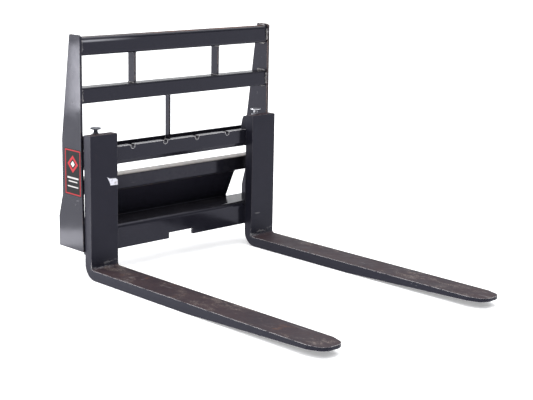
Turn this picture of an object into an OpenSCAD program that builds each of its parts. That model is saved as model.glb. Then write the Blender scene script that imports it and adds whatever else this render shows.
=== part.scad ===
// Pallet fork attachment: a welded carrier frame with a backrest, and two hook-on forks that slide on it.
// X runs across the frame, the forks point to -Y, Z is up. The floor under the blades is Z = 0.
// Inside the modules, y = 0 is the carriage plane: the front face of both fork rails.

/* [Frame] */
// Width over the side plates
frame_w = 972; // [960:1:1200]
// Height of a side plate
plate_h = 827; // [800:1:900]
// Thickness of a side plate
plate_t = 10; // [6:0.5:12]
// Height of the side plates' feet above the floor
foot_z = 103; // [95:1:110]
// Depth of a side plate at its top
plate_top_d = 68; // [64:1:90]
// Depth of a side plate at its middle
plate_mid_d = 124; // [124:1:140]
// Depth of a side plate at its foot
plate_low_d = 150; // [146:1:170]
// Distance from the carriage plane back to the plates' front edges above the rails
plate_setback = 8; // [4:1:10]

/* [Crossbars] */
// Side of the square tube, and the depth of the top crossbar's tube
tube = 60; // [56:1:62]
// Wall of the tubes
tube_wall = 5; // [3:0.5:6]
// Outer corner radius of the square tube
tube_r = 6; // [5.5:0.5:8]
// Distance from the plates' tops down to the top crossbar
top_bar_drop = 10; // [5:1:20]
// Height of the top crossbar's tube
top_bar_h = 68; // [60:1:72]
// Outer corner radius of the top crossbar's tube
top_bar_r = 10; // [6:0.5:10]
// Height of the underside of the middle crossbar
middle_bar_z = 672; // [650:1:690]
// Distance of the crossbars' fronts behind the plates' front edges
bar_inset = 6; // [0:1:12]

/* [Posts] */
// Thickness of the flat bars between the crossbars
post_t = 8; // [6:0.5:10]
// Depth of the two upper posts
post_d = 40; // [30:1:44]
// Distance of each upper post from the centre
post_x = 214; // [150:1:300]

/* [Fork rails] */
// Height of the top edge of the top rail
rail_top_z = 497; // [490:1:500]
// Top of the top rail to the underside of the lower rail, the hook spacing of the forks
rail_span = 406; // [400:1:407]
// Thickness of the top rail
rail_t = 22; // [18:1:24]
// Height of the top rail
rail_h = 70; // [60:1:76]
// Distance between the inner latch notches
notch_pitch = 164; // [158:1:180]
// Distance of the outermost latch notches from the centre
outer_notch = 415; // [395:1:416]
// Width of a latch notch
notch_w = 20; // [18:0.5:24]
// Depth of a latch notch
notch_d = 15; // [14:0.5:18]
// Thickness of the formed lower rail
lower_t = 12; // [10:1:12]
// Height of the formed lower rail
lower_h = 97; // [90:1:100]
// Outer bend radius of the lower rail
bend_r = 16; // [14:1:20]
// Width of the cut-out where a fork is taken off
cutout_w = 125; // [110:1:140]
// Height of that cut-out
cutout_h = 23.5; // [22:0.5:30]

/* [Forks] */
// Width of a fork
fork_w = 127; // [100:1:130]
// Thickness of the shank and the heel half of the blade
fork_t = 40; // [35:1:45]
// Blade length in front of the shank
blade_len = 1220; // [900:1:1400]
// Height of the shank's top above the floor
shank_top_z = 557; // [553:1:580]
// Thickness of the blade at its tip
tip_t = 13.5; // [10:0.5:20]
// Length of blade that keeps its full thickness
taper_start = 550; // [400:1:700]
// Outer radius of the heel
heel_r = 60; // [50:1:90]
// Radius inside the heel
heel_fillet = 12; // [8:1:16]
// Corner radius of the tip, seen from above
tip_r = 40; // [20:1:45]
// Width of the tip's square end
tip_flat = 27; // [20:1:40]
// Angle of the cut that narrows the blade into the tip
tip_angle = 17; // [12:1:25]
// Clearance of a fork on the rails
slide_gap = 0.5; // [0.3:0.1:1]

/* [Latch] */
// Diameter of the latch pin
pin_d = 16; // [14:0.5:17]
// Travel of the latch pin
pin_drop = 12; // [10:0.5:12]
// Diameter of the latch pin's head
head_d = 42; // [36:1:50]
// Thickness of the head
head_t = 6; // [4:0.5:7]
// Diameter of the cross pin that parks a raised latch
cross_d = 5; // [4:0.5:5]

/* [Coupler] */
// Width of the coupler face plate and its ledge
coupler_w = 722; // [700:1:760]
// Distance between the two lock slots
slot_spacing = 610; // [500:1:620]
// Width of a lock slot
slot_w = 30; // [24:1:32]
// Length of a lock slot
slot_l = 60; // [50:1:70]
// Thickness of the coupler plates
coupler_t = 10; // [8:1:10]

/* [Hidden] */
$fn = 48;

paint = [0.17, 0.17, 0.20];
dark_paint = [0.11, 0.11, 0.13];
fork_paint = [0.20, 0.19, 0.21];
zinc = [0.72, 0.72, 0.74];

// Clearance between a turning or sliding pin and its bore, on the radius
running_gap = 0.05;
inner_w = frame_w - 2 * plate_t;
plate_front = plate_setback;
bar_y = plate_front + bar_inset;
plate_low_y = plate_front + plate_low_d;
plate_mid_y = plate_front + plate_mid_d;
plate_top_y = plate_front + plate_top_d;
// Heights where the rear edge of a side plate changes direction
plate_low_z = 221;
plate_waist_z = 312;
plate_shoulder_z = 528;
plate_top_z = foot_z + plate_h;
top_bar_z = plate_top_z - top_bar_drop - top_bar_h;

// The lower rail's top flange is the shelf that reaches back to the coupler
lower_bottom_z = rail_top_z - rail_span;
shelf_z = lower_bottom_z + lower_h;
shelf_back = plate_mid_y;

// The coupler's cross tube stands at the back of the side plates
cross_tube_z = 308;
cross_tube_y = plate_mid_y - tube;
// The coupler hook is a wall behind the top rail with a lip that leans back over the carrier's edge
hook_wall_y = 98;
hook_wall_bottom = 412;
hook_wall_top = 495;
hook_lip_drop = 33;
ledge_d = 52;
slot_y = shelf_back + ledge_d / 2 + 4;

// Latch notches and fork places
notch_x = [for (side = [-1, 1]) for (x = [notch_pitch / 2, 1.5 * notch_pitch, outer_notch]) side * x];
fork_x = outer_notch;
latch_y = rail_t / 2;

// Hooks
hook_w = fork_w - 10;
top_hook_z = shank_top_z - 7;
hook_under_z = rail_top_z + slide_gap;
hook_inner_y = rail_t + 2;
hook_outer_y = rail_t + 14;
hook_lip_z = rail_top_z - 19;
bottom_hook_w = 72;
bottom_hook_top = lower_bottom_z - 2;
bottom_lip_y = lower_t + 2.5;
bottom_lip_top = lower_bottom_z + 16;

// Latch, from the rail upwards
pin_tip_z = rail_top_z + 1.6;
pocket_r = latch_y;
bush_z = top_hook_z - 14;
bush_top = top_hook_z + 6;
flange_d = 34;
seat_t = 3;
seat_z = bush_z - 10 - seat_t;
collar_t = 2;
pocket_z = seat_z - collar_t - pin_drop - 1;
cross_z = bush_top + cross_d / 2 + 0.5;
cross_l = 2 * pocket_r - 1;
head_z = bush_top + pin_drop + 4;
spring_wire = 1.6;
spring_r = 9.6;
spring_turns = 4;
spring_gap = 0.1;

label_t = 0.4;
// Moves the carriage plane so that Y = 0 is the middle of the whole part
origin_y = (fork_t + slide_gap + blade_len - shelf_back - ledge_d) / 2;

module placed() {
    translate([0, origin_y, 0]) children();
}

// Extrudes a (y, z) outline along X, centred on x
module along_x(width, x = 0) {
    translate([x - width / 2, 0, 0]) rotate([90, 0, 90]) linear_extrude(width) children();
}

// A rectangle with round corners, lower left corner at the origin
module round_rect(w, h, r) {
    translate([r, 0]) square([w - 2 * r, h]);
    translate([0, r]) square([w, h - 2 * r]);
    for (x = [r, w - r], y = [r, h - r]) translate([x, y]) circle(r);
}

module box_tube(length, y, z, height = tube, corner_r = tube_r) {
    along_x(length) translate([y, z]) difference() {
        round_rect(tube, height, corner_r);
        translate([tube_wall, tube_wall])
            round_rect(tube - 2 * tube_wall, height - 2 * tube_wall, corner_r - tube_wall);
    }
}

// The front edge runs forward to the carriage plane below the top rail
module side_plate(side) {
    chamfer = 12;
    color(paint) placed() along_x(plate_t, side * (frame_w - plate_t) / 2) polygon([
        [0, foot_z], [plate_low_y, foot_z], [plate_low_y, plate_low_z],
        [plate_mid_y, plate_waist_z], [plate_mid_y, plate_shoulder_z],
        [plate_top_y, plate_top_z - 3], [plate_top_y - 3, plate_top_z],
        [plate_front + chamfer, plate_top_z], [plate_front, plate_top_z - chamfer / 2],
        [plate_front, rail_top_z]]);
}

module top_crossbar() {
    color(dark_paint) placed() box_tube(inner_w, bar_y, top_bar_z, top_bar_h, top_bar_r);
}

module middle_crossbar() {
    color(dark_paint) placed() box_tube(inner_w, bar_y, middle_bar_z);
}

module upper_post(side) {
    post_z = middle_bar_z + tube;
    color(paint) placed() translate([side * post_x - post_t / 2, bar_y + 10, post_z])
        cube([post_t, post_d, top_bar_z - post_z]);
}

// Stands between the middle crossbar's back and the coupler hook's wall
module centre_post() {
    color(paint) placed() translate([-post_t / 2, bar_y + tube, hook_wall_bottom + 6])
        cube([post_t, hook_wall_y - bar_y - tube, middle_bar_z + tube - 16 - hook_wall_bottom - 6]);
}

// A flat bar whose top edge is notched for the latch pins, with a bevel along its lower front edge
module top_fork_rail() {
    bevel = 5;
    color(paint) placed() difference() {
        along_x(inner_w) polygon([
            [0, rail_top_z], [rail_t, rail_top_z], [rail_t, rail_top_z - rail_h],
            [bevel, rail_top_z - rail_h], [0, rail_top_z - rail_h + 3 * bevel]]);
        for (x = notch_x) translate([x, -1, rail_top_z - notch_d + notch_w / 2]) {
            rotate([-90, 0, 0]) cylinder(d = notch_w, h = rail_t + 2);
            translate([-notch_w / 2, 0, 0]) cube([notch_w, rail_t + 2, notch_d]);
        }
    }
}

// An angle bent from plate: the front lip carries the forks, the top flange is the shelf behind it
module lower_fork_rail() {
    corner = [bend_r, shelf_z - bend_r];
    color(paint) placed() difference() {
        along_x(inner_w) {
            translate([0, lower_bottom_z]) square([lower_t, lower_h - bend_r]);
            translate([bend_r, shelf_z - lower_t]) square([shelf_back - bend_r, lower_t]);
            intersection() {
                translate(corner) difference() {
                    circle(bend_r);
                    circle(bend_r - lower_t);
                }
                translate([0, shelf_z - bend_r]) square(bend_r);
            }
        }
        translate([-cutout_w / 2, -1, lower_bottom_z - 1]) cube([cutout_w, lower_t + 2, cutout_h + 1]);
    }
}

// Short plates that tie the top rail back to the coupler hook, below the path of the fork hooks
module rail_gussets() {
    color(paint) placed() for (side = [-1, 1], i = [1, 2])
        translate([side * i * notch_pitch - post_t / 2, rail_t, rail_top_z - rail_h + 5])
            cube([post_t, hook_wall_y - rail_t, 36]);
}

// Triangles under the shelf, above the path of the bottom hooks
module shelf_ribs() {
    color(paint) placed() for (x = [-230, 0, 230])
        along_x(post_t, x) polygon([
            [bend_r, shelf_z - lower_t], [shelf_back, shelf_z - lower_t],
            [lower_t, bottom_lip_top + 16], [lower_t, shelf_z - bend_r]]);
}

module coupler_hook() {
    back = hook_wall_y + coupler_t;
    lip_run = plate_mid_y - back;
    color(dark_paint) placed() along_x(inner_w) polygon([
        [hook_wall_y, hook_wall_bottom], [back, hook_wall_bottom],
        [back, hook_wall_top - coupler_t], [back + lip_run - 7, hook_wall_top - hook_lip_drop],
        [back + lip_run, hook_wall_top - hook_lip_drop + 7], [back - 2, hook_wall_top],
        [hook_wall_y, hook_wall_top]]);
}

module coupler_cross_tube() {
    color(paint) placed() box_tube(inner_w, cross_tube_y, cross_tube_z);
}

// Leans from the front of the cross tube down to the back edge of the shelf
module coupler_face_plate() {
    top_y = cross_tube_y + tube_r;
    color(dark_paint) placed() along_x(coupler_w) polygon([
        [top_y, cross_tube_z], [top_y + coupler_t, cross_tube_z],
        [shelf_back + coupler_t, shelf_z], [shelf_back, shelf_z]]);
}

// The flange that the carrier's lock wedges pass through
module coupler_ledge() {
    run = slot_l - slot_w;
    color(paint) placed() difference() {
        translate([-coupler_w / 2, shelf_back, shelf_z - lower_t]) cube([coupler_w, ledge_d, lower_t]);
        for (side = [-1, 1]) translate([side * slot_spacing / 2, slot_y, shelf_z - lower_t - 1]) {
            for (end = [-1, 1]) translate([end * run / 2, 0, 0]) cylinder(d = slot_w, h = lower_t + 2);
            translate([-run / 2, -slot_w / 2, 0]) cube([run, slot_w, lower_t + 2]);
        }
    }
}

// A thin panel on the outer face of each side plate
module side_decals() {
    color([0.08, 0.08, 0.09]) placed() for (side = [-1, 1])
        translate([side * (frame_w + label_t) / 2 - label_t / 2, plate_front + 2, 316])
            cube([label_t, 104, 180]);
}

// The forging: a shank and a tapered blade joined by a round heel
module fork(side) {
    heel_y = -slide_gap - heel_r;
    shank_y = -slide_gap - fork_t;
    tip_y = shank_y - blade_len;
    color(fork_paint) placed() translate([side * fork_x, 0, 0]) intersection() {
        along_x(fork_w) {
            translate([shank_y, heel_r]) square([fork_t, shank_top_z - heel_r]);
            difference() {
                intersection() {
                    translate([heel_y, heel_r]) circle(heel_r, $fn = 96);
                    translate([heel_y, 0]) square(heel_r);
                }
                translate([heel_y, fork_t]) square(heel_r - fork_t);
            }
            translate([shank_y - heel_fillet, fork_t]) difference() {
                square(heel_fillet);
                translate([0, heel_fillet]) circle(heel_fillet);
            }
            polygon([
                [heel_y, 0], [heel_y, fork_t], [tip_y, fork_t],
                [tip_y, fork_t - tip_t], [shank_y - taper_start, 0]]);
        }
        translate([0, tip_y, -1]) linear_extrude(shank_top_z + 2) tip_outline();
    }
}

// The fork from above, with the tip's end on y = 0
module tip_outline() {
    corner_x = tip_flat / 2;
    // The cut ends just inside the round corner
    cut_x = corner_x + (tip_r - 0.3) * cos(tip_angle);
    cut_y = tip_r - (tip_r - 0.3) * sin(tip_angle);
    crease_y = cut_y + (fork_w / 2 - cut_x) / tan(tip_angle);
    length = slide_gap + fork_t + blade_len;
    translate([-corner_x, 0]) square([tip_flat, tip_r + 1]);
    for (x = [-corner_x, corner_x]) translate([x, tip_r]) circle(tip_r, $fn = 96);
    polygon([
        [-fork_w / 2, length], [-fork_w / 2, crease_y], [-cut_x, cut_y], [0, tip_r],
        [cut_x, cut_y], [fork_w / 2, crease_y], [fork_w / 2, length]]);
}

// Hangs on the top rail and holds the latch in a bored pocket
module top_hook(side) {
    color(fork_paint) placed() translate([side * fork_x, 0, 0]) difference() {
        along_x(hook_w) polygon([
            [-slide_gap, hook_under_z], [hook_inner_y, hook_under_z], [hook_inner_y, hook_lip_z],
            [hook_outer_y, hook_lip_z], [hook_outer_y, top_hook_z - 40],
            [hook_outer_y - 6, top_hook_z - 14], [hook_outer_y - 13, top_hook_z],
            [-slide_gap, top_hook_z]]);
        translate([0, latch_y, hook_under_z - 1]) cylinder(r = pin_d / 2 + running_gap, h = 60);
        // The spring's pocket, above the guide bore
        translate([0, latch_y, pocket_z]) cylinder(r = pocket_r, h = 60);
    }
}

// Reaches under the lower rail and up behind it
module bottom_hook(side) {
    bottom = bottom_hook_top - 21;
    color(fork_paint) placed() along_x(bottom_hook_w, side * fork_x) polygon([
        [-slide_gap, bottom], [bottom_lip_y + 6, bottom],
        [bottom_lip_y + 12, bottom + 6], [bottom_lip_y + 12, bottom_lip_top - 4],
        [bottom_lip_y + 8, bottom_lip_top], [bottom_lip_y, bottom_lip_top],
        [bottom_lip_y, bottom_hook_top], [-slide_gap, bottom_hook_top]]);
}

// Places a latch piece on the latch axis of one fork
module on_latch(side, z) {
    placed() translate([side * fork_x, latch_y, z]) children();
}

// Closes the spring pocket and guides the pin; its flange has flats so that it clears the shank,
// and the slot across its top takes the cross pin
module latch_bush(side) {
    slot_depth = pin_drop + 1;
    body_h = top_hook_z - bush_z;
    flange_h = bush_top - top_hook_z;
    color(zinc) on_latch(side, bush_z) difference() {
        union() {
            cylinder(r = pocket_r - 0.02, h = body_h);
            translate([0, 0, body_h]) intersection() {
                cylinder(d = flange_d, h = flange_h);
                translate([-flange_d / 2, -pocket_r, 0]) cube([flange_d, 2 * pocket_r, flange_h]);
            }
        }
        translate([0, 0, -1]) cylinder(r = pin_d / 2 + running_gap, h = body_h + flange_h + 2);
        translate([-flange_d, -cross_d / 2 - 0.5, body_h + flange_h - slot_depth])
            cube([2 * flange_d, cross_d + 1, slot_depth + 1]);
    }
}

// The washer that the spring pushes down on
module spring_seat(side) {
    color(zinc) on_latch(side, seat_z) difference() {
        cylinder(r = pocket_r - 0.5, h = seat_t);
        translate([0, 0, -1]) cylinder(r = pin_d / 2 + running_gap, h = seat_t + 2);
    }
}

function helix(r, h, a) = [r * cos(a), r * sin(a), h * a / 360 / spring_turns];
function ring(p, a, wire, sides) = [for (k = [0 : sides - 1]) let (b = 360 * k / sides)
    p + wire * [cos(a) * cos(b), sin(a) * cos(b), sin(b)]];

// A round wire swept along a helix
module latch_spring(side) {
    sides = 8;
    steps = 18 * spring_turns;
    wire = spring_wire / 2;
    z0 = seat_z + seat_t + wire + spring_gap;
    height = bush_z - z0 - wire - spring_gap;
    points = [for (i = [0 : steps]) let (a = 360 * spring_turns * i / steps)
        each ring(helix(spring_r, height, a), a, wire, sides)];
    walls = [for (i = [0 : steps - 1], k = [0 : sides - 1]) let (n = (k + 1) % sides, b = i * sides)
        [b + k, b + sides + k, b + sides + n, b + n]];
    caps = [[for (k = [0 : sides - 1]) k], [for (k = [0 : sides - 1]) (steps + 1) * sides - 1 - k]];
    color(zinc) on_latch(side, z0) polyhedron(points, concat(walls, caps));
}

// A stem with a tapered tip, a collar under the spring seat and a mushroom head
module latch_pin(side) {
    tip = 3;
    length = head_z - pin_tip_z;
    color(zinc) on_latch(side, pin_tip_z) difference() {
        union() {
            cylinder(d1 = pin_d - 2 * tip, d2 = pin_d, h = tip);
            translate([0, 0, tip]) cylinder(d = pin_d, h = length - tip);
            translate([0, 0, seat_z - pin_tip_z - collar_t]) cylinder(r = pocket_r - 1, h = collar_t);
            translate([0, 0, length]) cylinder(d1 = head_d - 8, d2 = head_d, h = head_t / 2);
            translate([0, 0, length + head_t / 2]) cylinder(d = head_d, h = head_t / 2);
        }
        translate([-pin_d, 0, cross_z - pin_tip_z]) rotate([0, 90, 0]) cylinder(d = cross_d, h = 2 * pin_d);
    }
}

// A roll pin through the stem, which drops into the bush's slot or rests on the bush's top
module cross_pin(side) {
    color(zinc) on_latch(side, cross_z) translate([-cross_l / 2, 0, 0]) rotate([0, 90, 0]) difference() {
        cylinder(d = cross_d, h = cross_l);
        translate([0, 0, -1]) cylinder(d = cross_d - 2, h = cross_l + 2);
    }
}

// What is left of a blank paper label, on the front of the left shank
module torn_label() {
    right = -fork_x + fork_w / 2;
    color([0.82, 0.81, 0.87]) placed() translate([0, -slide_gap - fork_t, 0])
        rotate([90, 0, 0]) linear_extrude(label_t) polygon([
            [right, 377], [right, 358], [right - 34, 359], [right - 38, 372],
            [right - 49, 392], [right - 38, 386], [right - 9, 384]]);
}

side_plate(-1);  // left_side_plate
side_plate(1);  // right_side_plate
top_crossbar();
middle_crossbar();
upper_post(-1);  // left_upper_post
upper_post(1);  // right_upper_post
centre_post();
top_fork_rail();
lower_fork_rail();
rail_gussets();
shelf_ribs();
coupler_hook();
coupler_cross_tube();
coupler_face_plate();
coupler_ledge();
side_decals();
fork(-1);  // left_fork
top_hook(-1);  // left_top_hook
bottom_hook(-1);  // left_bottom_hook
latch_bush(-1);  // left_latch_bush
torn_label();
spring_seat(-1);  // left_spring_seat
latch_spring(-1);  // left_latch_spring
latch_pin(-1);  // left_latch_pin
cross_pin(-1);  // left_cross_pin
fork(1);  // right_fork
top_hook(1);  // right_top_hook
bottom_hook(1);  // right_bottom_hook
latch_bush(1);  // right_latch_bush
spring_seat(1);  // right_spring_seat
latch_spring(1);  // right_latch_spring
latch_pin(1);  // right_latch_pin
cross_pin(1);  // right_cross_pin
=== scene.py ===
"""Looks, stage, lights and camera for the pallet fork attachment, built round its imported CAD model."""
import math
import random

import bmesh
import bpy
from mathutils import Matrix, Vector

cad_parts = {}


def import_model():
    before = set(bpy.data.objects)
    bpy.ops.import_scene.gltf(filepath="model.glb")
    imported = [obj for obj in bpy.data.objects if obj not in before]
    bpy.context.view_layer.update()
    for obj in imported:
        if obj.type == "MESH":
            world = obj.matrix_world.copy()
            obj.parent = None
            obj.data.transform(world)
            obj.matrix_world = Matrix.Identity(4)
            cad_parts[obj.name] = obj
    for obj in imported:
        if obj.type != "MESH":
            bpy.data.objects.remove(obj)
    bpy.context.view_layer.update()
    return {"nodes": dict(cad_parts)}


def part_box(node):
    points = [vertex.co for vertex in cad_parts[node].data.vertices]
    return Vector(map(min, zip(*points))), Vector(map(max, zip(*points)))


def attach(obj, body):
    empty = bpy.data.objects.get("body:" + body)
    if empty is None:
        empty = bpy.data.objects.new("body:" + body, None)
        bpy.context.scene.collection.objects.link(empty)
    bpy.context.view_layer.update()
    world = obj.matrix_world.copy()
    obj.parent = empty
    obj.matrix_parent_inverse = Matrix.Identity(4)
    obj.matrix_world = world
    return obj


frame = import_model()
nodes = frame["nodes"]
X, Y, Z = Vector((1, 0, 0)), Vector((0, 1, 0)), Vector((0, 0, 1))


# ---------------------------------------------------------------- camera
def look(camera, position, azimuth, elevation, roll):
    """Points a camera back along an azimuth and an elevation, in degrees, and rolls it."""
    a, e, r = (math.radians(v) for v in (azimuth, elevation, roll))
    back = Vector((math.sin(a) * math.cos(e), -math.cos(a) * math.cos(e), math.sin(e)))
    right = (-back).cross(Z).normalized()
    up = right.cross(-back)
    x_axis = right * math.cos(r) + up * math.sin(r)
    y_axis = up * math.cos(r) - right * math.sin(r)
    turn = Matrix((x_axis, y_axis, back)).transposed()
    camera.matrix_world = Matrix.Translation(position) @ turn.to_4x4()


camera_data = bpy.data.cameras.new("camera")
camera_data.sensor_width = 36.0
camera_data.lens = 88.285
camera_data.clip_end = 200.0
camera = bpy.data.objects.new("camera", camera_data)
bpy.context.scene.collection.objects.link(camera)
look(camera, Vector((-3.32975, -3.43484, 1.39103)), azimuth=-43.785, elevation=12.463, roll=1.053)
bpy.context.scene.camera = camera


# ---------------------------------------------------------------- node helpers
class Tree:
    """A material's node tree, with short calls for the nodes used here."""

    def __init__(self, name):
        self.material = bpy.data.materials.new(name)
        self.material.use_nodes = True
        self.nodes = self.material.node_tree.nodes
        self.links = self.material.node_tree.links
        self.nodes.clear()
        self.out = self.add("ShaderNodeOutputMaterial")
        self.shader = self.add("ShaderNodeBsdfPrincipled")
        self.links.new(self.shader.outputs[0], self.out.inputs[0])
        self.place = self.add("ShaderNodeTexCoord").outputs["Object"]

    def add(self, kind, **values):
        node = self.nodes.new(kind)
        for key, value in values.items():
            setattr(node, key, value)
        return node

    def put(self, socket, value):
        """Links a socket, or sets it to a number."""
        if isinstance(value, bpy.types.NodeSocket):
            self.links.new(value, socket)
        else:
            socket.default_value = value

    def math(self, operation, *values, clamp=False):
        node = self.add("ShaderNodeMath", operation=operation, use_clamp=clamp)
        for socket, value in zip(node.inputs, values):
            self.put(socket, value)
        return node.outputs[0]

    def product(self, first, *others):
        for other in others:
            first = self.math("MULTIPLY", first, other)
        return first

    def scaled(self, factors):
        node = self.add("ShaderNodeMapping")
        self.put(node.inputs["Vector"], self.place)
        node.inputs["Scale"].default_value = factors
        return node.outputs[0]

    def noise(self, scale, detail=3.0, rough=0.5, source=None, distort=0.0):
        node = self.add("ShaderNodeTexNoise")
        self.put(node.inputs["Vector"], source or self.place)
        node.inputs["Scale"].default_value = scale
        node.inputs["Detail"].default_value = detail
        node.inputs["Roughness"].default_value = rough
        node.inputs["Distortion"].default_value = distort
        return node.outputs["Fac"]

    def fade(self, value, low, high, to_low=0.0, to_high=1.0):
        """Maps low..high to to_low..to_high, clamped."""
        node = self.add("ShaderNodeMapRange", interpolation_type="SMOOTHSTEP")
        self.put(node.inputs["Value"], value)
        for key, number in (("From Min", low), ("From Max", high), ("To Min", to_low), ("To Max", to_high)):
            node.inputs[key].default_value = number
        return node.outputs["Result"]

    def mix(self, factor, a, b):
        node = self.add("ShaderNodeMix", data_type="RGBA")
        self.put(node.inputs["Factor"], factor)
        for socket, value in ((node.inputs[6], a), (node.inputs[7], b)):
            self.put(socket, (*value, 1.0) if isinstance(value, tuple) else value)
        return node.outputs[2]

    def xyz(self):
        node = self.add("ShaderNodeSeparateXYZ")
        self.links.new(self.place, node.inputs[0])
        return node.outputs

    def up(self):
        """How far the surface faces upwards: the normal's height, -1 to 1."""
        node = self.add("ShaderNodeSeparateXYZ")
        self.links.new(self.add("ShaderNodeNewGeometry").outputs["Normal"], node.inputs[0])
        return node.outputs[2]

    def edges(self, radius):
        """1 on sharp convex or concave edges, 0 on the flats."""
        bevel = self.add("ShaderNodeBevel", samples=4)
        bevel.inputs["Radius"].default_value = radius
        dot = self.add("ShaderNodeVectorMath", operation="DOT_PRODUCT")
        self.links.new(bevel.outputs[0], dot.inputs[0])
        self.links.new(self.add("ShaderNodeNewGeometry").outputs["Normal"], dot.inputs[1])
        return self.fade(dot.outputs["Value"], 0.96, 0.80)

    def bump(self, height, strength, distance):
        node = self.add("ShaderNodeBump")
        node.inputs["Strength"].default_value = strength
        node.inputs["Distance"].default_value = distance
        self.put(node.inputs["Height"], height)
        self.links.new(node.outputs[0], self.shader.inputs["Normal"])

    def inside(self, value, centre, half, soft):
        """1 where value is within half of centre."""
        off = self.math("ABSOLUTE", self.math("SUBTRACT", value, centre))
        return self.fade(off, half + soft, half - soft)

    def scratches(self, along, across, scale, amount):
        """Thin streaks that run along one axis: along and across scale the coordinates of the streaks and
        of the patches that hold them."""
        streak = self.noise(scale, 2.0, 0.6, self.scaled(along))
        patch = self.noise(3.0, 2.0, 0.5, self.scaled(across))
        return self.product(self.fade(streak, 0.66, 0.70), self.fade(patch, 0.62 - amount, 0.74 - amount))


# ---------------------------------------------------------------- materials
BLACK = (0.0085, 0.0085, 0.0125)
RUSTY = (0.26, 0.17, 0.12)
BRIGHT = (0.62, 0.60, 0.60)
SCRATCH = (0.26, 0.255, 0.26)
# The pale line on the top crossbar's front: rubbed paint and a painted highlight.
RUBBED_AND_HIGHLIGHT = (0.30, 0.30, 0.32)
BARE_BLADE = (0.19, 0.155, 0.135)
RUST_SPOT = (0.11, 0.062, 0.042)
# The brown strip on the top crossbar's top: rust and a painted reflection.
RUST_AND_REFLECTION_STRIP = (0.13, 0.068, 0.047)
GRIME = (0.10, 0.085, 0.07)
ENAMEL_TINT = (0.80, 0.79, 1.0, 1.0)


def blade_marks(t, y, z, upward):
    """Scratches along a fork's blade and a graze inside its heel, and the patches where its paint is worn."""
    lines = t.product(t.scratches((1.0, 0.06, 1.0), (1, 1, 1), 110.0, 0.16), upward)
    patch = t.fade(t.noise(13.0, 6.0, 0.72, t.scaled((1.0, 0.6, 1.0)), distort=0.3), 0.51, 0.62)
    patch = t.product(patch, upward, t.fade(t.noise(170.0, 4.0, 0.7), 0.42, 0.62))
    heel_y, heel_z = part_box("left_fork")[1].y - 0.044, 0.052
    heel = t.product(t.inside(y, heel_y, 0.010, 0.006), t.inside(z, heel_z, 0.014, 0.010))
    graze = t.fade(t.noise(34.0, 6.0, 0.75, t.scaled((0.5, 1.0, 1.6))), 0.50, 0.58)
    return t.math("MAXIMUM", lines, t.product(heel, graze)), patch


def bar_marks(t, node, x, y, z):
    """A strip of rust along a bar's top rear corner, which is also a painted brownish reflection of its top
    face, and a pale line along its top front one, rubbed paint that is also a painted highlight.
    """
    low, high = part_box(node)
    rear = t.product(t.fade(y, high.y - 0.056, high.y - 0.040), t.fade(z, high.z - 0.008, high.z - 0.003))
    rear = t.product(rear, t.fade(x, -0.40, 0.10, 0.35, 1.0))
    front = t.product(t.inside(z, high.z - 0.013, 0.0030, 0.004), t.fade(y, low.y + 0.005, low.y + 0.002))
    front = t.product(front, t.fade(x, -0.18, -0.44))
    return rear, front


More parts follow.
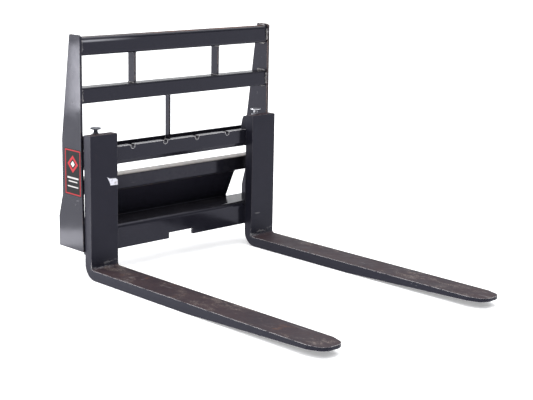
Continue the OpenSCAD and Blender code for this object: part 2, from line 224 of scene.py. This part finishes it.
def paint(name, base, rough, dust_and_sheen, film, veil_strength, level=0.23, wear_and_glint=None, rust=0.0, scuff=0.3,
          side_film=0.03, blade=False, bar=None):
    """Enamel over steel: a speckled, dusty film, a veil of it on upward faces, streaks and orange peel. On
    the cross tube the pale, strong veil is also a painted highlight on the top face.

    film is the strength of the speckles, side_film the part of them left on faces that don't look up,
    veil_strength the veil's strength, scuff the streaks' and level the specular level. wear_and_glint is
    (amount, width, colour) of the marks along the edges, chipped paint that on the top rail is also a painted
    glint of its edges, and rust the amount of rust spots. A blade, and a bar named by its node, have marks of
    their own."""
    t = Tree(name)
    x, y, z = t.xyz()
    upward = t.fade(t.up(), 0.2, 0.9)

    speckle = t.fade(t.product(t.noise(5.0, 5.0, 0.6), t.noise(60.0, 4.0, 0.65)), 0.16, 0.42)
    speckle = t.product(speckle, film, t.math("MULTIPLY_ADD", upward, 1.0 - side_film, side_film))
    # The veil on upward faces is dusty; on the cross tube it is also a painted highlight of the top face.
    veil = t.product(upward, t.fade(t.noise(9.0, 5.0, 0.65), 0.3, 0.7, 0.55 * veil_strength, veil_strength))
    layer = t.math("MAXIMUM", speckle, veil)
    colour = t.mix(layer, base, dust_and_sheen)

    marks = t.scratches((1.0, 6.0, 9.0), (2, 2, 2), 9.0, 0.02)
    if blade:
        lengthwise, patch = blade_marks(t, y, z, upward)
        marks = t.math("MAXIMUM", marks, lengthwise)
        colour = t.mix(t.product(patch, 0.7), colour, BARE_BLADE)
    colour = t.mix(t.product(marks, scuff), colour, SCRATCH)
    value = t.fade(t.noise(14.0, 4.0, 0.6), 0.3, 0.7, rough[0], rough[1])
    value = t.math("ADD", value, t.product(layer, 0.30), clamp=True)

    if rust:
        spot = t.fade(t.noise(17.0, 6.0, 0.72, distort=0.4), 0.60, 0.70)
        spot = t.math("MAXIMUM", spot, t.product(t.fade(t.noise(140.0, 3.0, 0.6), 0.62, 0.70), 0.5))
        spot = t.product(spot, rust, t.math("MULTIPLY_ADD", upward, 0.95, 0.05))
        colour = t.mix(spot, colour, RUST_SPOT)
        value = t.math("ADD", value, t.product(spot, 0.3), clamp=True)
    if wear_and_glint:
        amount, width, steel = wear_and_glint
        edge_marks = t.fade(t.noise(38.0, 5.0, 0.7), 0.62 - amount * 0.3, 0.72 - amount * 0.25)
        if blade:  # the shank's edges, above the blade, are hardly chipped
            edge_marks = t.product(edge_marks, t.fade(z, 0.09, 0.05, 0.12, 1.0))
        # The edge colour is chipped paint, and on the top rail it is also a painted glint.
        edge = t.product(t.edges(width), edge_marks)
        colour = t.mix(edge, colour, steel)
        t.put(t.shader.inputs["Metallic"], t.product(edge, 0.4))
    if bar:
        rear, front = bar_marks(t, bar, x, y, z)
        mottle = t.fade(t.noise(13.0, 6.0, 0.75), 0.42, 0.58, 0.20, 0.9)
        # Rear strip: rust and a painted reflection on the top face. Front line: rubbed paint and a painted
        # highlight.
        colour = t.mix(t.product(rear, mottle), colour, RUST_AND_REFLECTION_STRIP)
        colour = t.mix(t.product(front, 0.9), colour, RUBBED_AND_HIGHLIGHT)
        value = t.math("ADD", value, t.product(rear, 0.75), clamp=True)

    t.put(t.shader.inputs["Base Color"], colour)
    t.put(t.shader.inputs["Roughness"], value)
    t.shader.inputs["Specular IOR Level"].default_value = level
    t.shader.inputs["Specular Tint"].default_value = ENAMEL_TINT
    peel = t.math("ADD", t.noise(260.0, 2.0, 0.5), t.product(t.noise(45.0, 3.0, 0.5), 1.5))
    t.bump(t.math("SUBTRACT", peel, t.product(marks, 0.5)), 0.06, 0.0006)
    return t.material


def plated(name, base, rough, spots):
    """Zinc plate or bare steel: cloudy, a little brushed, with darker spots."""
    t = Tree(name)
    cloud = t.noise(90.0, 4.0, 0.6)
    dirt = t.fade(t.noise(220.0, 4.0, 0.7), 0.55, 0.68)
    colour = t.mix(t.fade(cloud, 0.35, 0.7), base, tuple(c * 0.72 for c in base))
    colour = t.mix(t.product(dirt, spots), colour, GRIME)
    t.put(t.shader.inputs["Base Color"], colour)
    t.put(t.shader.inputs["Roughness"], t.fade(cloud, 0.3, 0.7, rough, rough + 0.18))
    t.shader.inputs["Metallic"].default_value = 0.9
    t.bump(t.noise(8.0, 2.0, 0.5, t.scaled((12.0, 12.0, 320.0))), 0.12, 0.0003)
    return t.material


def decal():
    """Black vinyl with a red border, a plain diamond and pale bars: no lettering."""
    t = Tree("decal")
    low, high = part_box("side_decals")
    _, y, z = t.xyz()
    centre_y, centre_z = (low.y + high.y) / 2, (low.z + high.z) / 2
    half_y, half_z = (high.y - low.y) / 2, (high.z - low.z) / 2

    def panel(margin, soft):
        """1 inside a margin from the decal's edge."""
        return t.product(t.inside(y, centre_y, half_y - margin, soft),
                         t.inside(z, centre_z, half_z - margin, soft))

    border = t.math("SUBTRACT", panel(0.003, 0.0005), panel(0.0075, 0.0006), clamp=True)
    off_y = t.math("ABSOLUTE", t.math("SUBTRACT", y, centre_y))
    off_z = t.math("ABSOLUTE", t.math("SUBTRACT", z, centre_z + 0.032))
    diamond = t.math("ADD", off_y, off_z)
    bars = 0.0
    for drop, half, thick in ((0.022, 0.036, 0.0032), (0.036, 0.028, 0.0022), (0.056, 0.034, 0.0022)):
        bar = t.product(t.inside(y, centre_y, half, 0.0005), t.inside(z, centre_z - drop, thick, 0.0005))
        bars = t.math("MAXIMUM", bars, bar)
    grain = t.noise(30.0, 4.0, 0.6)
    colour = t.mix(t.fade(grain, 0.3, 0.7), (0.006, 0.006, 0.007), (0.012, 0.012, 0.013))
    colour = t.mix(border, colour, (0.30, 0.020, 0.026))
    colour = t.mix(t.fade(diamond, 0.0345, 0.0335), colour, (0.33, 0.022, 0.030))
    colour = t.mix(t.fade(diamond, 0.0215, 0.0205), colour, (0.014, 0.014, 0.015))
    colour = t.mix(t.fade(diamond, 0.0125, 0.0115), colour, (0.55, 0.53, 0.53))
    colour = t.mix(t.product(bars, 0.85), colour, (0.50, 0.48, 0.48))
    t.put(t.shader.inputs["Base Color"], colour)
    t.put(t.shader.inputs["Roughness"], t.fade(grain, 0.3, 0.7, 0.34, 0.46))
    t.shader.inputs["Specular IOR Level"].default_value = 0.07
    t.bump(t.noise(180.0, 2.0, 0.5), 0.05, 0.0003)
    return t.material


def paper():
    """Torn label stock: mottled, with dark blotches that grow stronger towards the lower edge."""
    t = Tree("label_paper")
    low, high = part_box("torn_label")
    fibre = t.noise(420.0, 4.0, 0.7)
    blotch = t.fade(t.noise(55.0, 5.0, 0.65), 0.48, 0.66)
    foot = t.fade(t.xyz()[2], high.z, low.z)
    colour = t.mix(t.fade(fibre, 0.3, 0.7), (0.60, 0.60, 0.68), (0.76, 0.76, 0.82))
    colour = t.mix(t.product(blotch, t.math("MULTIPLY_ADD", foot, 0.4, 0.35)), colour, (0.20, 0.17, 0.17))
    t.put(t.shader.inputs["Base Color"], colour)
    t.put(t.shader.inputs["Roughness"], t.fade(fibre, 0.3, 0.7, 0.7, 0.9))
    t.bump(fibre, 0.3, 0.0003)
    return t.material


ENAMEL = {"base": BLACK, "rough": (0.10, 0.18), "dust_and_sheen": (0.07, 0.065, 0.063), "film": 0.25, "veil_strength": 0.12}
FRAME_BLACK = paint("frame_paint", wear_and_glint=(0.5, 0.0025, RUSTY), **ENAMEL)
RIGHT_BLACK = paint("right_plate_paint", wear_and_glint=(1.4, 0.0045, RUSTY), **ENAMEL)
BAR_BLACK = paint("crossbar_paint", wear_and_glint=(0.3, 0.0025, RUSTY), bar="top_crossbar", **ENAMEL)
# Top rail, with no bevel: its bright edges along the top front and round the notches are worn paint and also
# a painted glint of those edges.
RAIL_BLACK = paint("rail_paint", BLACK, (0.12, 0.22), (0.08, 0.075, 0.075), 0.35, 0.15,
                   wear_and_glint=(1.9, 0.0045, BRIGHT), scuff=0.05)
# Cross tube: its pale, strong veil is dusty and is also a painted highlight on the top face.
TUBE_BLACK = paint("cross_tube_paint", BLACK, (0.10, 0.18), (0.52, 0.48, 0.45), 0.3, 0.9,
                   wear_and_glint=(0.4, 0.0025, RUSTY))
FORK_BLACK = paint("fork_paint", (0.012, 0.012, 0.018), (0.34, 0.46), (0.050, 0.030, 0.030), 0.3, 0.65,
                   level=0.155, wear_and_glint=(0.9, 0.0028, BRIGHT), rust=0.7, scuff=0.45, blade=True)
WELD_BLACK = paint("weld_paint", (0.016, 0.016, 0.020), (0.20, 0.34), (0.46, 0.44, 0.43), 1.0, 0.4,
                   level=0.3, side_film=0.8)
ZINC = plated("zinc", (0.76, 0.77, 0.81), 0.20, 0.3)
# The left latch pin is the same zinc part as the right one: this darker, bluer copy is painted shade for the
# backlit left pin.
ZINC_PAINTED_SHADE = plated("zinc_painted_shade", (0.16, 0.17, 0.20), 0.32, 0.5)
SPRING = plated("spring_steel", (0.45, 0.45, 0.46), 0.22, 0.3)
DECAL = decal()
PAPER = paper()


# ---------------------------------------------------------------- the CAD nodes' finish
def dress(name, material, bevel=0.0):
    """Gives a CAD node its material and, where bevel isn't 0, rounds its sharp edges by that width."""
    piece = nodes[name]
    for place in piece.material_slots:
        place.material = material
    if bevel:
        weld = piece.modifiers.new("weld", "WELD")
        weld.merge_threshold = 0.00002
        rounded = piece.modifiers.new("bevel", "BEVEL")
        rounded.width = bevel
        rounded.segments = 2
        rounded.limit_method = "ANGLE"
        rounded.angle_limit = math.radians(32)
        rounded.harden_normals = True


FRAME_NODES = {
    "left_side_plate": 0.0012, "right_side_plate": 0.0012, "top_crossbar": 0.0, "middle_crossbar": 0.0,
    "left_upper_post": 0.0008, "right_upper_post": 0.0008, "centre_post": 0.0008, "top_fork_rail": 0.0,
    "lower_fork_rail": 0.0012, "rail_gussets": 0.0008, "shelf_ribs": 0.0008, "coupler_hook": 0.0012,
    "coupler_cross_tube": 0.0, "coupler_face_plate": 0.001, "coupler_ledge": 0.001}
FRAME_PAINTS = {"right_side_plate": RIGHT_BLACK, "top_crossbar": BAR_BLACK, "top_fork_rail": RAIL_BLACK,
                "coupler_cross_tube": TUBE_BLACK}
for name, bevel in FRAME_NODES.items():
    dress(name, FRAME_PAINTS.get(name, FRAME_BLACK), bevel)
dress("side_decals", DECAL)
dress("torn_label", PAPER)
# The left latch pin takes the darker zinc copy, which is painted shade; the right one takes the zinc.
for side, pin_finish_and_shade in (("left", ZINC_PAINTED_SHADE), ("right", ZINC)):
    dress(f"{side}_fork", FORK_BLACK, 0.0022)
    dress(f"{side}_top_hook", FORK_BLACK, 0.002)
    dress(f"{side}_bottom_hook", FORK_BLACK, 0.0015)
    dress(f"{side}_latch_bush", ZINC, 0.0005)
    dress(f"{side}_spring_seat", ZINC, 0.0003)
    dress(f"{side}_latch_spring", SPRING)
    dress(f"{side}_latch_pin", pin_finish_and_shade, 0.0006)
    dress(f"{side}_cross_pin", SPRING, 0.0002)


# ---------------------------------------------------------------- weld beads
RING_POINTS = 7
RINGS_PER_RIPPLE = 4


def bead_rings(run, size, pitch, ragged, rng):
    """The cross sections of one fillet weld, each a list of points, the last one inside the corner."""
    start, end, a, b = (Vector(v) for v in run)
    length = (end - start).length
    along = (end - start).normalized()
    steps = max(6, round(length / (pitch / RINGS_PER_RIPPLE)))
    wobble = [rng.uniform(-1, 1) for _ in range(steps // RINGS_PER_RIPPLE + 3)]
    rings = []
    for i in range(steps + 1):
        s = i / steps
        ripple, part = divmod(i / RINGS_PER_RIPPLE, 1)
        soft = wobble[int(ripple)] * (1 - part) + wobble[int(ripple) + 1] * part
        scallop = 1 - abs(part - 0.5) * 0.5
        taper = min(1.0, 0.35 + min(s, 1 - s) * length / (size * 0.9))
        reach = size * taper * (0.88 + ragged * soft + 0.20 * (scallop - 0.75))
        corner = start + (end - start) * s
        ring = []
        for j in range(RING_POINTS):
            angle = math.pi / 2 * j / (RING_POINTS - 1)
            swell = reach * (0.80 + 0.16 * math.sin(2 * angle))
            bulge = along * (0.25 * size * math.sin(2 * angle))
            ring.append(corner + bulge + a * (math.cos(angle) * swell) + b * (math.sin(angle) * swell))
        ring.append(corner - (a + b) * size * 0.10)
        rings.append(ring)
    return rings


def bead(name, body, runs, size, seed, finish, pitch=0.0045, ragged=0.12):
    """Fillet welds along straight corners, as one piece. A run is (start, end, a, b): a and b point from the
    corner along the two joined faces."""
    rng = random.Random(seed)
    mesh = bmesh.new()
    for run in runs:
        rings = [[mesh.verts.new(point) for point in ring]
                 for ring in bead_rings(run, size, pitch, ragged, rng)]
        for first, second in zip(rings, rings[1:]):
            for j, near in enumerate(first):
                k = (j + 1) % len(first)
                mesh.faces.new((near, first[k], second[k], second[j]))
        mesh.faces.new(rings[0])
        mesh.faces.new(reversed(rings[-1]))
    bmesh.ops.recalc_face_normals(mesh, faces=mesh.faces)
    data = bpy.data.meshes.new(name)
    mesh.to_mesh(data)
    mesh.free()
    data.shade_smooth()
    piece = bpy.data.objects.new(name, data)
    bpy.context.scene.collection.objects.link(piece)
    data.materials.append(finish)
    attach(piece, body)


def both_faces(low, high):
    """A piece's two faces across X, each with the way that it looks."""
    return (low.x, -X), (high.x, X)


def end_runs(node, inset, front):
    """Welds round both ends of a tube, on the inner faces of the side plates."""
    low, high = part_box(node)
    y0, y1, z0, z1 = low.y + inset, high.y - inset, low.z + inset, high.z - inset
    runs = []
    for x, outward in both_faces(low, high):
        runs.append(((x, y0, high.z), (x, y1, high.z), -outward, Z))
        runs.append(((x, y1, low.z), (x, y0, low.z), -outward, -Z))
        runs.append(((x, high.y, z1), (x, high.y, z0), -outward, Y))
        if front:
            runs.append(((x, low.y, z0), (x, low.y, z1), -outward, -Y))
    return runs


TUBE_BEAD = 0.008         # bead sizes, in metres
PLATE_BEAD = 0.006
RIB_BEAD = 0.0045
POST_BEAD = 0.004
HOOK_BEAD = 0.003
BUILD_UP = 0.3            # how uneven the beads of the tubes and posts are
END_GAP = 0.004           # bare length at a bead's end
TUBE_CORNER = 0.006       # beads end this far from a tube's corners
TOP_TUBE_CORNER = 0.010
SHEET = 0.010             # thickness of the coupler's face plate
RAIL_SEAM = 0.045         # welded height behind the top rail
SHELF_START = 0.008       # the shelf's bead begins this far behind the side plates' front
RIB_FOOT = 0.002          # the ribs' upright beads begin this far above their lowest point
HOOK_MOUTH = 0.028        # the top hook's bead begins this far above its lowest point
HOOK_SEAM = 0.021         # the bottom hook's bead ends this far above its lowest point

for node, seed, corner in (("top_crossbar", 3, TOP_TUBE_CORNER), ("middle_crossbar", 5, TUBE_CORNER),
                           ("coupler_cross_tube", 7, TUBE_CORNER)):
    bead(f"weld_{node}", "frame", end_runs(node, corner, node != "coupler_cross_tube"), TUBE_BEAD, seed,
         WELD_BLACK, ragged=BUILD_UP)

post_runs = []
for node in ("left_upper_post", "right_upper_post"):
    low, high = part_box(node)
    for x, out in both_faces(low, high):
        post_runs.append(((x, low.y, low.z), (x, high.y, low.z), Z, out))
        post_runs.append(((x, low.y, high.z), (x, high.y, high.z), -Z, out))
    for z, rise in ((low.z, Z), (high.z, -Z)):
        post_runs.append(((low.x, low.y, z), (high.x, low.y, z), rise, -Y))
bead("weld_upper_posts", "frame", post_runs, RIB_BEAD, 11, WELD_BLACK, ragged=BUILD_UP)

hook_low, hook_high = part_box("coupler_hook")
low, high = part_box("centre_post")
gusset_t = high.x - low.x
crossbar_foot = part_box("middle_crossbar")[0].z
centre_runs = []
for x, out in both_faces(low, high):
    centre_runs.append(((x, low.y, crossbar_foot + TUBE_CORNER), (x, low.y, high.z), out, Y))
    centre_runs.append(((x, high.y, low.z), (x, high.y, hook_high.z - END_GAP), out, -Y))
bead("weld_centre_post", "frame", centre_runs, POST_BEAD, 13, WELD_BLACK, ragged=BUILD_UP)

# Rails, hook and shelf to the side plates
rail_low, rail_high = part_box("top_fork_rail")
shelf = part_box("lower_fork_rail")[1]
plate_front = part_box("left_side_plate")[0].y
rail_runs = []
for x, outward in both_faces(rail_low, rail_high):
    for start, end, face in (
            ((x, rail_high.y, rail_low.z), (x, rail_high.y, rail_low.z + RAIL_SEAM), Y),
            ((x, plate_front, rail_low.z), (x, rail_high.y, rail_low.z), -Z),
            ((x, plate_front + SHELF_START, shelf.z), (x, shelf.y, shelf.z), Z),
            ((x, hook_low.y, hook_low.z), (x, hook_low.y, hook_high.z - END_GAP), -Y)):
        rail_runs.append((start, end, -outward, face))
bead("weld_rail_ends", "frame", rail_runs, PLATE_BEAD, 17, WELD_BLACK)

# Face plate to the cross tube and to the shelf, and the ledge behind it
face_low, face_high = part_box("coupler_face_plate")
ledge_low, ledge_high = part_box("coupler_ledge")
lean = Vector((0, face_high.y - face_low.y - SHEET, -(face_high.z - face_low.z))).normalized()
face_runs = []
for y, z, a, b in ((face_low.y, face_high.z, lean, -Y),
                   (shelf.y, shelf.z, -Y, -lean),
                   (shelf.y + SHEET, shelf.z, Y, -lean)):
    face_runs.append(((face_low.x, y, z), (face_high.x, y, z), a, b))
face_runs.append(((ledge_low.x, ledge_low.y, ledge_low.z), (ledge_high.x, ledge_low.y, ledge_low.z), Y, -Z))
bead("weld_face_plate", "frame", face_runs, PLATE_BEAD, 19, FRAME_BLACK)


def plate_faces(last_x, count_from_middle, indices):
    """Both faces of each of a row of gusset plates, evenly spaced about the middle."""
    step = (last_x - gusset_t / 2) / count_from_middle
    return [(i * step + side * gusset_t / 2, X * side) for i in indices for side in (-1, 1)]


low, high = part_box("rail_gussets")
gusset_runs = []
for x, out in plate_faces(high.x, 2, (-2, -1, 1, 2)):
    gusset_runs.append(((x, low.y, low.z), (x, low.y, high.z), out, Y))
    gusset_runs.append(((x, high.y, low.z), (x, high.y, high.z), out, -Y))
bead("weld_gussets", "frame", gusset_runs, RIB_BEAD, 23, FRAME_BLACK)

low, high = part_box("shelf_ribs")
rib_runs = []
for x, out in plate_faces(high.x, 1, (-1, 0, 1)):
    rib_runs.append(((x, low.y + END_GAP, high.z), (x, high.y, high.z), out, -Z))
    rib_runs.append(((x, low.y, low.z + RIB_FOOT), (x, low.y, high.z - END_GAP), out, Y))
bead("weld_ribs", "frame", rib_runs, RIB_BEAD, 29, FRAME_BLACK)

for side, seed in (("left", 30), ("right", 32)):
    low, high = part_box(f"{side}_top_hook")
    foot_low, foot_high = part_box(f"{side}_bottom_hook")
    hook_runs = []
    for x, out in both_faces(low, high):
        hook_runs.append(((x, low.y, low.z + HOOK_MOUTH), (x, low.y, high.z), out, Y))
    for x, out in both_faces(foot_low, foot_high):
        hook_runs.append(((x, low.y, foot_low.z + END_GAP), (x, low.y, foot_low.z + HOOK_SEAM), out, Y))
    bead(f"{side}_hook_welds", f"{side}_fork_body", hook_runs, HOOK_BEAD, seed, FORK_BLACK, pitch=0.0035)


# ---------------------------------------------------------------- stage and lights
def floor():
    """A large sheet of pale paper that glows a little."""
    size = 60.0  # half its width
    data = bpy.data.meshes.new("floor")
    corners = [(-size, -size, 0), (size, -size, 0), (size, size, 0), (-size, size, 0)]
    data.from_pydata(corners, [], [(0, 1, 2, 3)])
    piece = bpy.data.objects.new("floor", data)
    bpy.context.scene.collection.objects.link(piece)
    t = Tree("floor_paper")
    t.put(t.shader.inputs["Base Color"], t.mix(t.noise(0.6), (0.90, 0.90, 0.90), (0.93, 0.93, 0.93)))
    t.shader.inputs["Roughness"].default_value = 0.7
    t.shader.inputs["Specular IOR Level"].default_value = 0.2
    t.shader.inputs["Emission Color"].default_value = (1.0, 1.0, 1.0, 1.0)
    t.shader.inputs["Emission Strength"].default_value = 0.3
    data.materials.append(t.material)


def softbox(name, position, target, width, height, power):
    """A rectangular light at a position, turned to a target and not seen by the camera."""
    data = bpy.data.lights.new(name, "AREA")
    data.shape = "RECTANGLE"
    data.size = width
    data.size_y = height
    data.energy = power
    lamp = bpy.data.objects.new(name, data)
    bpy.context.scene.collection.objects.link(lamp)
    lamp.location = position
    aim = Vector(target) - Vector(position)
    lamp.rotation_euler = aim.to_track_quat("-Z", "Y").to_euler()
    lamp.visible_camera = False


def world():
    """White studio. The paint sees a sweep that is dark at the horizon, bright just above it and overhead."""
    sky = bpy.data.worlds.new("studio")
    bpy.context.scene.world = sky
    sky.use_nodes = True
    tree = sky.node_tree
    tree.nodes.clear()

    def node(kind, **inputs):
        made = tree.nodes.new(kind)
        for key, value in inputs.items():
            made.inputs[key.replace("_", " ")].default_value = value
        return made

    def ramp(source, low, high, to_low, to_high):
        made = node("ShaderNodeMapRange", From_Min=low, From_Max=high, To_Min=to_low, To_Max=to_high)
        made.interpolation_type = "SMOOTHSTEP"
        tree.links.new(source, made.inputs["Value"])
        return made.outputs[0]

    def combine(operation, a, b):
        made = tree.nodes.new("ShaderNodeMath")
        made.operation = operation
        tree.links.new(a, made.inputs[0])
        tree.links.new(b, made.inputs[1])
        return made.outputs[0]

    split = node("ShaderNodeSeparateXYZ")
    tree.links.new(node("ShaderNodeTexCoord").outputs["Generated"], split.inputs[0])
    depth, height = split.outputs[1], split.outputs[2]
    sweep = combine("MULTIPLY", ramp(height, 0.090, 0.112, 0.05, 1.2), ramp(height, 0.23, 0.34, 1.0, 0.45))
    sweep = combine("MULTIPLY", sweep, ramp(depth, -0.6, 0.4, 0.5, 1.0))
    total = combine("ADD", sweep, ramp(height, 0.30, 0.95, 0.0, 2.0))
    light = node("ShaderNodeBackground", Color=(0.97, 0.98, 1.0, 1.0))
    tree.links.new(total, light.inputs["Strength"])
    plain = node("ShaderNodeBackground", Color=(1.0, 1.0, 1.0, 1.0), Strength=1.0)
    pick = node("ShaderNodeMixShader")
    seen = node("ShaderNodeLightPath")
    out = node("ShaderNodeOutputWorld")
    tree.links.new(seen.outputs["Is Camera Ray"], pick.inputs[0])
    tree.links.new(light.outputs[0], pick.inputs[1])
    tree.links.new(plain.outputs[0], pick.inputs[2])
    tree.links.new(pick.outputs[0], out.inputs[0])


floor()
softbox("left_wall", (-2.53, 1.62, 0.85), (-1.01, 0.08, 0.55), 1.9, 1.7, 42)
softbox("rear_wall", (-1.475, 2.66, 0.85), (0.045, 1.12, 0.55), 1.1, 1.7, 4.5)
softbox("plate_glow", (-1.31, 1.44, 0.62), (-0.486, 0.60, 0.84), 0.40, 0.30, 4.2)
softbox("plate_foot", (-0.80, 0.94, 0.020), (-0.486, 0.62, 0.11), 0.36, 0.09, 0.54)
softbox("top_box", (0.2, -0.4, 4.2), (0, 0.0, 0.2), 4.0, 4.0, 60)
world()
bpy.context.scene.view_settings.view_transform = "Standard"
